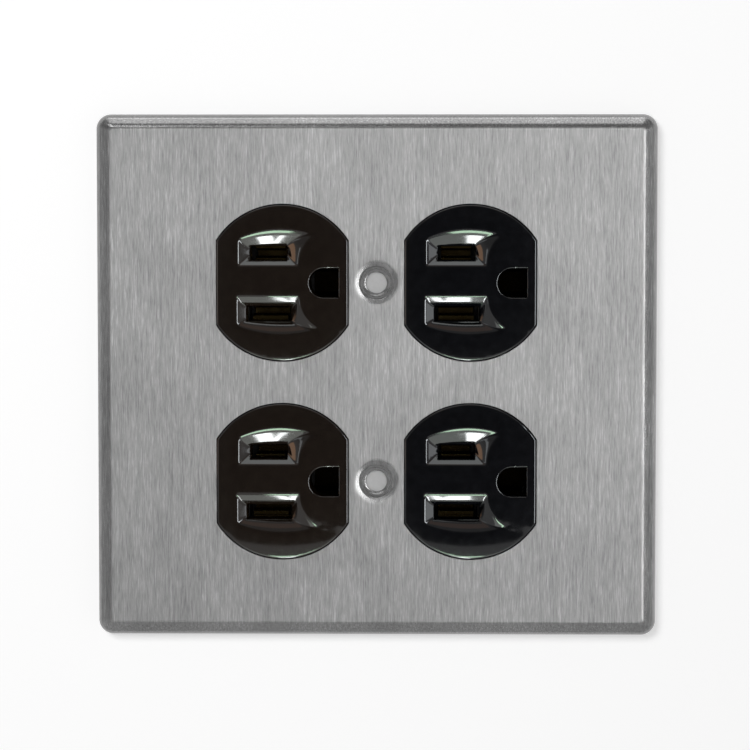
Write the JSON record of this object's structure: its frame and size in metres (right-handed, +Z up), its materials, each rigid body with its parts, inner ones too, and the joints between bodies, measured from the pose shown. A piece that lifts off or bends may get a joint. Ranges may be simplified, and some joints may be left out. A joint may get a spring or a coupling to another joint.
{
  "type": "wall plate cover",
  "caption": "Brushed stainless steel wall plate over sideways duplex outlets, with black grounded faces, straps, contacts and screw terminals.",
  "frame": {"origin": "centre of the cover plate on the wall's face, which is the plane that the plate's rim and the straps' ears lie on", "axes": "+X right along the plate's longer side, +Z up, +Y into the wall; the outlets' faces look toward -Y"},
  "size_m": [0.1226, 0.0335, 0.1142],
  "materials": {
    "plate_steel": "satin stainless steel, brushed from top to bottom",
    "face_black": "glossy black thermoset, polished mould finish",
    "base_black": "moulded black thermoset, fine matt",
    "zinc_steel": "bright zinc-plated steel",
    "brass": "rolled brass strip, slightly dulled",
    "brass_screw": "bright machined brass",
    "nickel": "nickel-plated brass",
    "green_screw": "green dyed plating on steel",
    "fibre": "vulcanised fibre, matt"
  },
  "bodies": {
    "outlets": {"upper_face_cover": "face_black", "upper_base": "base_black", "upper_yoke": "zinc_steel", "upper_center_post": "zinc_steel", "upper_hot_strip": "brass", "upper_neutral_strip": "brass", "upper_ground_strip": "brass", "upper_assembly_screw_left": "zinc_steel", "upper_assembly_screw_right": "zinc_steel", "upper_retaining_washer_left": "fibre", "upper_retaining_washer_right": "fibre", "lower_face_cover": "face_black", "lower_base": "base_black", "lower_yoke": "zinc_steel", "lower_center_post": "zinc_steel", "lower_hot_strip": "brass", "lower_neutral_strip": "brass", "lower_ground_strip": "brass", "lower_assembly_screw_left": "zinc_steel", "lower_assembly_screw_right": "zinc_steel", "lower_retaining_washer_left": "fibre", "lower_retaining_washer_right": "fibre"},
    "cover": {"wall_plate": "plate_steel"},
    "upper_hot_clamp_left": {"upper_hot_clamp_left": "brass"},
    "upper_hot_screw_left": {"upper_hot_screw_left": "brass_screw"},
    "upper_hot_clamp_right": {"upper_hot_clamp_right": "brass"},
    "upper_hot_screw_right": {"upper_hot_screw_right": "brass_screw"},
    "upper_neutral_clamp_left": {"upper_neutral_clamp_left": "nickel"},
    "upper_neutral_screw_left": {"upper_neutral_screw_left": "nickel"},
    "upper_neutral_clamp_right": {"upper_neutral_clamp_right": "nickel"},
    "upper_neutral_screw_right": {"upper_neutral_screw_right": "nickel"},
    "upper_ground_clamp": {"upper_ground_clamp": "zinc_steel"},
    "upper_ground_screw": {"upper_ground_screw": "green_screw"},
    "upper_mounting_screw_left": {"upper_mounting_screw_left": "zinc_steel"},
    "upper_mounting_screw_right": {"upper_mounting_screw_right": "zinc_steel"},
    "lower_hot_clamp_left": {"lower_hot_clamp_left": "brass"},
    "lower_hot_screw_left": {"lower_hot_screw_left": "brass_screw"},
    "lower_hot_clamp_right": {"lower_hot_clamp_right": "brass"},
    "lower_hot_screw_right": {"lower_hot_screw_right": "brass_screw"},
    "lower_neutral_clamp_left": {"lower_neutral_clamp_left": "nickel"},
    "lower_neutral_screw_left": {"lower_neutral_screw_left": "nickel"},
    "lower_neutral_clamp_right": {"lower_neutral_clamp_right": "nickel"},
    "lower_neutral_screw_right": {"lower_neutral_screw_right": "nickel"},
    "lower_ground_clamp": {"lower_ground_clamp": "zinc_steel"},
    "lower_ground_screw": {"lower_ground_screw": "green_screw"},
    "lower_mounting_screw_left": {"lower_mounting_screw_left": "zinc_steel"},
    "lower_mounting_screw_right": {"lower_mounting_screw_right": "zinc_steel"}
  },
  "joints": [
    {"name": "cover_lift_off", "type": "slide", "parent": "outlets", "child": "cover", "axis": [0, -1, 0], "range_m": [0, 0.03]},
    {"name": "upper_hot_clamp_left_slide", "type": "slide", "parent": "outlets", "child": "upper_hot_clamp_left", "axis": [0, 0, 1], "range_m": [0, 0.0022]},
    {"name": "upper_hot_screw_left_turn", "type": "hinge", "parent": "upper_hot_clamp_left", "child": "upper_hot_screw_left", "pos_m": [-0.015, 0.01, 0.03555], "axis": [0, 0, 1], "range_deg": [0, 998]},
    {"name": "upper_hot_clamp_right_slide", "type": "slide", "parent": "outlets", "child": "upper_hot_clamp_right", "axis": [0, 0, 1], "range_m": [0, 0.0022]},
    {"name": "upper_hot_screw_right_turn", "type": "hinge", "parent": "upper_hot_clamp_right", "child": "upper_hot_screw_right", "pos_m": [0.015, 0.01, 0.03555], "axis": [0, 0, 1], "range_deg": [0, 998]},
    {"name": "upper_neutral_clamp_left_slide", "type": "slide", "parent": "outlets", "child": "upper_neutral_clamp_left", "axis": [0, 0, -1], "range_m": [0, 0.0022]},
    {"name": "upper_neutral_screw_left_turn", "type": "hinge", "parent": "upper_neutral_clamp_left", "child": "upper_neutral_screw_left", "pos_m": [-0.015, 0.01, 0.00535], "axis": [0, 0, -1], "range_deg": [0, 998]},
    {"name": "upper_neutral_clamp_right_slide", "type": "slide", "parent": "outlets", "child": "upper_neutral_clamp_right", "axis": [0, 0, -1], "range_m": [0, 0.0022]},
    {"name": "upper_neutral_screw_right_turn", "type": "hinge", "parent": "upper_neutral_clamp_right", "child": "upper_neutral_screw_right", "pos_m": [0.015, 0.01, 0.00535], "axis": [0, 0, -1], "range_deg": [0, 998]},
    {"name": "upper_ground_clamp_slide", "type": "slide", "parent": "outlets", "child": "upper_ground_clamp", "axis": [0, 0, -1], "range_m": [0, 0.0022]},
    {"name": "upper_ground_screw_turn", "type": "hinge", "parent": "upper_ground_clamp", "child": "upper_ground_screw", "pos_m": [0.0426, 0.01, 0.01125], "axis": [0, 0, -1], "range_deg": [0, 998]},
    {"name": "upper_mounting_screw_left_turn", "type": "hinge", "parent": "outlets", "child": "upper_mounting_screw_left", "pos_m": [-0.04165, -0.0016, 0.02045], "axis": [0, -1, 0], "continuous": true},
    {"name": "upper_mounting_screw_right_turn", "type": "hinge", "parent": "outlets", "child": "upper_mounting_screw_right", "pos_m": [0.04165, -0.0016, 0.02045], "axis": [0, -1, 0], "continuous": true},
    {"name": "lower_hot_clamp_left_slide", "type": "slide", "parent": "outlets", "child": "lower_hot_clamp_left", "axis": [0, 0, 1], "range_m": [0, 0.0022]},
    {"name": "lower_hot_screw_left_turn", "type": "hinge", "parent": "lower_hot_clamp_left", "child": "lower_hot_screw_left", "pos_m": [-0.015, 0.01, -0.00785], "axis": [0, 0, 1], "range_deg": [0, 998]},
    {"name": "lower_hot_clamp_right_slide", "type": "slide", "parent": "outlets", "child": "lower_hot_clamp_right", "axis": [0, 0, 1], "range_m": [0, 0.0022]},
    {"name": "lower_hot_screw_right_turn", "type": "hinge", "parent": "lower_hot_clamp_right", "child": "lower_hot_screw_right", "pos_m": [0.015, 0.01, -0.00785], "axis": [0, 0, 1], "range_deg": [0, 998]},
    {"name": "lower_neutral_clamp_left_slide", "type": "slide", "parent": "outlets", "child": "lower_neutral_clamp_left", "axis": [0, 0, -1], "range_m": [0, 0.0022]},
    {"name": "lower_neutral_screw_left_turn", "type": "hinge", "parent": "lower_neutral_clamp_left", "child": "lower_neutral_screw_left", "pos_m": [-0.015, 0.01, -0.03805], "axis": [0, 0, -1], "range_deg": [0, 998]},
    {"name": "lower_neutral_clamp_right_slide", "type": "slide", "parent": "outlets", "child": "lower_neutral_clamp_right", "axis": [0, 0, -1], "range_m": [0, 0.0022]},
    {"name": "lower_neutral_screw_right_turn", "type": "hinge", "parent": "lower_neutral_clamp_right", "child": "lower_neutral_screw_right", "pos_m": [0.015, 0.01, -0.03805], "axis": [0, 0, -1], "range_deg": [0, 998]},
    {"name": "lower_ground_clamp_slide", "type": "slide", "parent": "outlets", "child": "lower_ground_clamp", "axis": [0, 0, -1], "range_m": [0, 0.0022]},
    {"name": "lower_ground_screw_turn", "type": "hinge", "parent": "lower_ground_clamp", "child": "lower_ground_screw", "pos_m": [0.0426, 0.01, -0.03215], "axis": [0, 0, -1], "range_deg": [0, 998]},
    {"name": "lower_mounting_screw_left_turn", "type": "hinge", "parent": "outlets", "child": "lower_mounting_screw_left", "pos_m": [-0.04165, -0.0016, -0.02295], "axis": [0, -1, 0], "continuous": true},
    {"name": "lower_mounting_screw_right_turn", "type": "hinge", "parent": "outlets", "child": "lower_mounting_screw_right", "pos_m": [0.04165, -0.0016, -0.02295], "axis": [0, -1, 0], "continuous": true}
  ],
  "couplings": [
    {"joint": "upper_hot_screw_left_turn", "follows": "upper_hot_clamp_left_slide", "rad_per_m": 7915.8},
    {"joint": "upper_hot_screw_right_turn", "follows": "upper_hot_clamp_right_slide", "rad_per_m": 7915.8},
    {"joint": "upper_neutral_screw_left_turn", "follows": "upper_neutral_clamp_left_slide", "rad_per_m": 7915.8},
    {"joint": "upper_neutral_screw_right_turn", "follows": "upper_neutral_clamp_right_slide", "rad_per_m": 7915.8},
    {"joint": "upper_ground_screw_turn", "follows": "upper_ground_clamp_slide", "rad_per_m": 7915.8},
    {"joint": "lower_hot_screw_left_turn", "follows": "lower_hot_clamp_left_slide", "rad_per_m": 7915.8},
    {"joint": "lower_hot_screw_right_turn", "follows": "lower_hot_clamp_right_slide", "rad_per_m": 7915.8},
    {"joint": "lower_neutral_screw_left_turn", "follows": "lower_neutral_clamp_left_slide", "rad_per_m": 7915.8},
    {"joint": "lower_neutral_screw_right_turn", "follows": "lower_neutral_clamp_right_slide", "rad_per_m": 7915.8},
    {"joint": "lower_ground_screw_turn", "follows": "lower_ground_clamp_slide", "rad_per_m": 7915.8}
  ]
}
